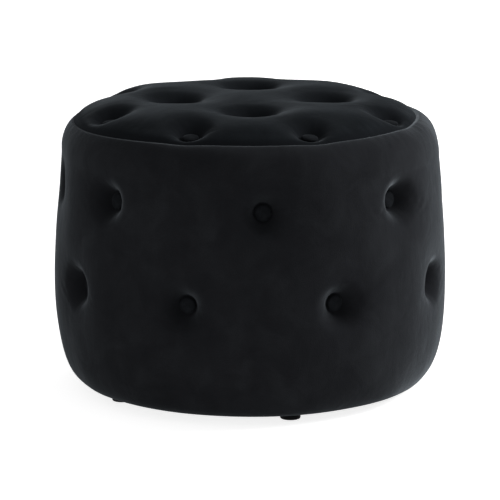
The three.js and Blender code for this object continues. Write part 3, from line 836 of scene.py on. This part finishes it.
for row, tuftList in tuftRows.items():
    for i, tuft in enumerate(tuftList, 1):
        coveredButton(f"{row}Button{i}", f"{row}_button_{i}", tuft)
report("buttons")


# Feet, their screws, the dust cover and its staples

# Polypropylene, moulded against a lightly etched tool: black, with a dull gloss
footPlastic = patternMaterial("mouldedPolypropylene", {
    "values": {"Specular IOR Level": 0.05},
    "shade": ("Noise", "Fac", {"Scale": 90, "Detail": 4}),  # 11 mm clouds
    "stops": [(0.35, "0a0a0c"), (0.65, "131316")],
    "roughRange": (0.36, 0.52),
    "grain": ("Noise", "Fac", {"Scale": 1800, "Detail": 2}),  # 0.6 mm etching
    "bump": {"Strength": 0.35, "Distance": 0.0002},
})

# Steel, zinc plated in a barrel: bright grey with cloudy patches of 2 mm
steel = patternMaterial("zincPlatedSteel", {
    "values": {"Metallic": 1},
    "shade": ("Noise", "Fac", {"Scale": 500, "Detail": 4}),
    "stops": [(0.3, "9a9ba0"), (0.7, "b9babd")],
    "roughRange": (0.27, 0.46),
})

# Polypropylene fibres, spunbonded into a thin black cloth: matt, with a cloudy density and a
# pattern of bonded points 2 mm apart
nonWoven = patternMaterial("spunbondedCloth", {
    "values": {"Roughness": 0.9},
    "shade": ("Noise", "Fac", {"Scale": 220, "Detail": 6, "Roughness": 0.7}),
    "stops": [(0.3, "101012"), (0.7, "242427")],
    "grain": ("Voronoi", "Distance", {"Scale": 500, "Randomness": 0.15}),
    "bump": {"Strength": 0.6, "Distance": 0.0003},
})

foot = {
    "ring": 0.208,
    "angles": [-57, 15, 87, 159, 231],
    "corners": [  # radius, height and rounding of each corner of its section
        (0.0024, 0.009, 0.0002),  # bore for the screw
        (0.0125, 0.009, 0.0008),  # top
        (0.014, 0.0016, 0.001),  # widest
        (0.0132, 0, 0.0006),  # sole
        (0.0049, 0, 0.0005),  # recess for the screw's head
        (0.0049, 0.0042, 0.0003),
        (0.0024, 0.0042, 0.0002),
    ],
    "cornerPoints": 5,
    "columns": 64,
}

footScrew = {
    "radius": 0.0021,
    "core": 0.0016,
    "pitch": 0.0014,
    "crestSharpness": 1.6,  # above 1 leaves flats between the crests
    "end": 0.0224,
    "point": 0.004,
    "pointGap": 0.0002,  # from the tip to the last ring of the shank
    "pointRadius": 0.0001,
    "headLow": 0.0014,
    "headHigh": 0.0042,
    "headSide": [(0.0039, 0.0042), (0.0043, 0.0038), (0.0043, 0.0023), (0.0038, 0.0017)],
    "faceRadius": 0.0032,
    "faceMiddle": 0.0003,
    "faceMargin": 0.0001,
    "faceRows": 12,
    "slotHalfWidth": 0.00045,
    "slotWidening": 1.5,  # the sides of the cross slope out to this many half widths
    "slotReach": 0.0022,
    "slotFull": 0.8,  # share of its reach to which the cross has its full depth
    "slotDepth": 0.0013,
    "rows": 72,
    "columns": 40,
}


# A turned foot with a rounded sole, a taper upwards and a sunk seat for its screw
def footPiece(i, middle):
    profile = roundedProfile(foot["corners"], foot["cornerPoints"])
    points, faces = turnedShape(profile, foot["columns"], False)
    piece = newPiece(f"foot{i}", points + middle, faces, footPlastic, "foot_plastic")
    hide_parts(f"foot_{i}")


# A pan head screw, point up: its thread is a triangle wave of height and turn together, and a
# cross is sunk into its head
def footScrewPiece(i, middle):
    screw = footScrew
    high = np.linspace(screw["end"] - screw["pointGap"], screw["headHigh"], screw["rows"])
    taper = np.minimum(1, (screw["end"] - high) / screw["point"])
    shank = rowsOf(taper * screw["core"] + screw["pointRadius"], high)
    faceRadius = np.linspace(screw["faceRadius"], screw["faceMiddle"], screw["faceRows"])
    profile = np.concatenate([[[0, screw["end"]]], shank, screw["headSide"],
                              rowsOf(faceRadius, screw["headLow"]), [[0, screw["headLow"]]]])
    points, faces = turnedShape(profile, screw["columns"], True)

    radius = np.hypot(points[:, 0], points[:, 1])
    turn = np.arctan2(points[:, 1], points[:, 0])
    wave = 1 - np.abs((points[:, 2] / screw["pitch"] + turn / (2 * np.pi)) % 1 * 2 - 1)
    crest = np.clip(1 - (1 - wave) * screw["crestSharpness"], 0, 1)
    ridge = (screw["radius"] - screw["core"]) * crest * np.minimum(1, radius / screw["core"])
    onShank = (points[:, 2] > screw["headHigh"]) & (radius > 0)
    points[:, :2] *= (1 + onShank * ridge / np.maximum(radius, 1e-6))[:, None]

    def slot(aside, along):
        wide, reach = screw["slotHalfWidth"], screw["slotReach"]
        return ((1 - smoothStep(wide, screw["slotWidening"] * wide, aside))
                * (1 - smoothStep(screw["slotFull"] * reach, reach, along)))

    x, y = np.abs(points[:, 0]), np.abs(points[:, 1])
    onFace = points[:, 2] < screw["headLow"] + screw["faceMargin"]
    points[:, 2] += onFace * np.maximum(slot(x, y), slot(y, x)) * screw["slotDepth"]
    piece = newPiece(f"footScrew{i}", points + middle, faces, steel, "screw_steel")
    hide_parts(f"foot_screw_{i}")


for i, angle in enumerate(foot["angles"], 1):
    footMiddle = around(angle, foot["ring"], 0)
    footPiece(i, footMiddle)
    footScrewPiece(i, footMiddle)

dust = {
    "radius": 0.224,
    "height": 0.0098,
    "sag": 0.0009,
    "ripple": 0.00016,
    "ripplePower": 6,  # how fast the ripples die out inwards
    "rows": 50,
    "columns": 216,
}

staple = {
    "ring": 0.2165,
    "step": 10,
    "wander": 1.5,  # degrees by which a staple may miss its place
    "clearOfFoot": 6.5,  # degrees
    "halfLength": 0.005,
    "halfWidth": 0.0006,
    "wire": 0.0006,
    "crownLow": 0.009,
    "legTop": 0.015,
}


# A disc of cloth that sags as a square towards its middle, with ripples between its staples
def dustCover():
    start = np.arange(dust["columns"])
    share, turn = gridPlaces(np.linspace(0, 1, dust["rows"])[1:], start * 360 / len(start))
    ripple = dust["ripple"] * np.sin(np.radians(turn) * 360 / staple["step"])
    height = dust["height"] - dust["sag"] * (1 - share ** 2) + ripple * share ** dust["ripplePower"]
    points = around(turn, dust["radius"] * share, height)
    total = len(points)
    points = np.concatenate([points, [[0, 0, dust["height"] - dust["sag"]]]])
    middle = rowsOf((start + 1) % len(start), start, total)
    faces = gridFaces(dust["rows"] - 1, dust["columns"], wrapColumns=True)[:, ::-1]
    piece = newPiece("dustCover", points, [faces, middle], nonWoven, "dust_cloth")
    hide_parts("dust_cover")


# Staples: flat wire bent at two corners, along the edge of the cloth, as four sections of four
# corners each, with a face at both ends
def staples():
    outer = np.array([[-1, staple["legTop"]], [-1, staple["crownLow"]],
                      [1, staple["crownLow"]], [1, staple["legTop"]]])
    inner = outer + [[0, 0], [0, staple["wire"]], [0, staple["wire"]], [0, 0]]
    path = np.stack([outer, outer, inner, inner], axis=1)
    thick = np.array([1, 1, -1, -1]) * staple["wire"] / 2
    along = path[:, :, 0] * (staple["halfLength"] + thick)
    aside = np.broadcast_to(np.array([-1, 1, 1, -1]) * staple["halfWidth"], along.shape)
    angles = np.arange(0, 360, staple["step"])
    angles = angles + chance.uniform(-staple["wander"], staple["wander"], len(angles))
    apart = np.abs((angles[:, None] - foot["angles"] + 180) % 360 - 180).min(axis=1)
    angles = angles[apart > staple["clearOfFoot"]]
    turn = np.radians(angles)[:, None, None]
    x = (staple["ring"] + aside) * np.sin(turn) + along * np.cos(turn)
    y = -(staple["ring"] + aside) * np.cos(turn) + along * np.sin(turn)
    points = rowsOf(x, y, path[:, :, 1]).reshape(-1, 3)
    one = np.concatenate([gridFaces(4, 4, wrapColumns=True), [[3, 2, 1, 0], [12, 13, 14, 15]]])
    faces = (np.arange(len(angles))[:, None, None] * path[:, :, 0].size + one[None]).reshape(-1, 4)
    newPiece("dustCoverStaples", points, [faces], steel, "screw_steel")


dustCover()
staples()
report("feet, screws, dust cover and staples")


# Materials of the drum and the twine inside

# Birch, rotary cut and glued crosswise: pale wood with a long soft figure, and thin dark glue
# lines 1.4 mm apart where the edge of the board shows
plywood = patternMaterial("birchPlywood", {
    "values": {"Roughness": 0.6},
    "mapping": {"Scale": (3, 40, 700)},  # the figure is 330 mm long and 25 mm wide
    "shade": ("Noise", "Fac", {"Scale": 1, "Detail": 6, "Distortion": 0.8}),
    "stops": [(0.3, "a87b4f"), (0.5, "c49a6c"), (0.7, "d8b68c")],
    "bump": {"Strength": 0.3, "Distance": 0.0003},
})

# Hardboard, wet pressed from fibres: dark brown, with 3 mm flecks of fibre and a smooth face
hardboard = patternMaterial("pressedHardboard", {
    "values": {"Roughness": 0.55},
    "shade": ("Noise", "Fac", {"Scale": 350, "Detail": 8, "Roughness": 0.7}),
    "stops": [(0.35, "6f5238"), (0.65, "9d7c59")],
    "bump": {"Strength": 0.2, "Distance": 0.0002},
})

# Pine, planed: growth rings 6 mm apart that run up the post, redder in the late wood
pine = patternMaterial("planedPine", {
    "mapping": {"Location": (0.11, 0.07, 0), "Scale": (1, 1, 0.04)},
    "shade": ("Wave", "Fac", {"wave_type": "RINGS", "rings_direction": "Z",
                                           "Scale": 52, "Distortion": 2, "Detail": 3}),
    "stops": [(0.2, "e2c79b"), (0.8, "c79a62")],
    "roughRange": (0.48, 0.62),
})

# Linen twine, twisted and waxed: cream, with slanting strands under 1 mm wide
twine = patternMaterial("waxedTwine", {
    "values": {"Roughness": 0.5},
    "shade": ("Wave", "Fac", {"bands_direction": "DIAGONAL", "Scale": 260,
                                           "Distortion": 0.6}),
    "stops": [(0.2, "cfc4a8"), (0.8, "eee7d5")],
    "bump": {"Strength": 0.6, "Distance": 0.0003},
})

hiddenFinishes = {
    ("top_board", "base_board"): plywood,
    ("side_wall",): hardboard,
    ("frame_post",): pine,
    ("top_screw", "base_screw"): steel,
    ("top_lacing", "upper_lacing", "lower_lacing"): twine,
}
for node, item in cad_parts.items():
    for starts, material in hiddenFinishes.items():
        if node.startswith(starts):
            item.material_slots[0].material = material
report("drum and twine")


# Stage

camera = {
    "distance": 3.915,
    "height": 1.072,
    "pitch": 0.223,
    "lens": 207.9,
    "sensor": 36,
    "farEnd": 50,
}

light = {
    "areas": {  # place, size in metres and power in watts
        "rightWindow": ((2.7, 0.5, 1.9), 1.6, 78),
        "leftFill": ((-2.5, -1.1, 0.6), 1.1, 4.5),
        "backFill": ((0.9, 2.8, 0.45), 0.8, 12),
    },
    "aim": (0, 0, 0.2),
    "room": 0.26,
}

paper = {
    "colour": "f4f4f4",
    "roughness": 0.9,
    "glow": 0.82,
    "reach": 9,
}


def addItem(name, data, place, turn):
    item = bpy.data.objects.new(name, data)
    item.location, item.rotation_euler = place, turn
    bpy.context.collection.objects.link(item)
    return item


def addCamera():
    data = bpy.data.cameras.new("camera")
    data.sensor_width = camera["sensor"]
    data.lens = camera["lens"]
    data.clip_end = camera["farEnd"]
    place, turn = (0, -camera["distance"], camera["height"]), math.pi / 2 - camera["pitch"]
    bpy.context.scene.camera = addItem("camera", data, place, (turn, 0, 0))


def addArea(name, place, size, power):
    data = bpy.data.lights.new(name, "AREA")
    data.shape = "RECTANGLE"
    data.size = data.size_y = size
    data.energy = power
    way = Vector(light["aim"]) - Vector(place)
    addItem(name, data, place, way.to_track_quat("-Z", "Y").to_euler())


# One for what the camera, a gloss or a clear body sees, and nothing for light on the object
def seenShare(tree):
    path = addNode(tree, "LightPath").outputs
    most = path["Is Camera Ray"]
    for name in ("Is Glossy Ray", "Is Transmission Ray"):
        most = addNode(tree, "Math", {"operation": "MAXIMUM"},
                       {0: most, 1: path[name]}).outputs["Value"]
    return most


addCamera()
for name, (place, size, power) in light["areas"].items():
    addArea(name, place, size, power)

world = bpy.data.worlds.new("studio")
bpy.context.scene.world = world
world.use_nodes = True
room = world.node_tree.nodes["Background"]
room.inputs["Color"].default_value = (1, 1, 1, 1)
seenRoom = addNode(world.node_tree, "MapRange", {"To Min": light["room"], "To Max": 1},
                   {"Value": seenShare(world.node_tree)})
world.node_tree.links.new(seenRoom.outputs["Result"], room.inputs["Strength"])

floorMaterial, floorTree, floorShader = newMaterial("paperFloor", {
    "Base Color": linear(paper["colour"]), "Roughness": paper["roughness"],
    "Emission Color": (1, 1, 1, 1)})
glow = addNode(floorTree, "Math", {"operation": "MULTIPLY", 1: paper["glow"]},
               {0: seenShare(floorTree)})
floorTree.links.new(glow.outputs["Value"], floorShader.inputs["Emission Strength"])
reach = paper["reach"]
floor = newPiece("floor", [[-reach, -reach, 0], [reach, -reach, 0], [reach, reach, 0],
                           [-reach, reach, 0]], [[[0, 1, 2, 3]]], floorMaterial)

bpy.context.scene.view_settings.view_transform = "Standard"
report("stage")
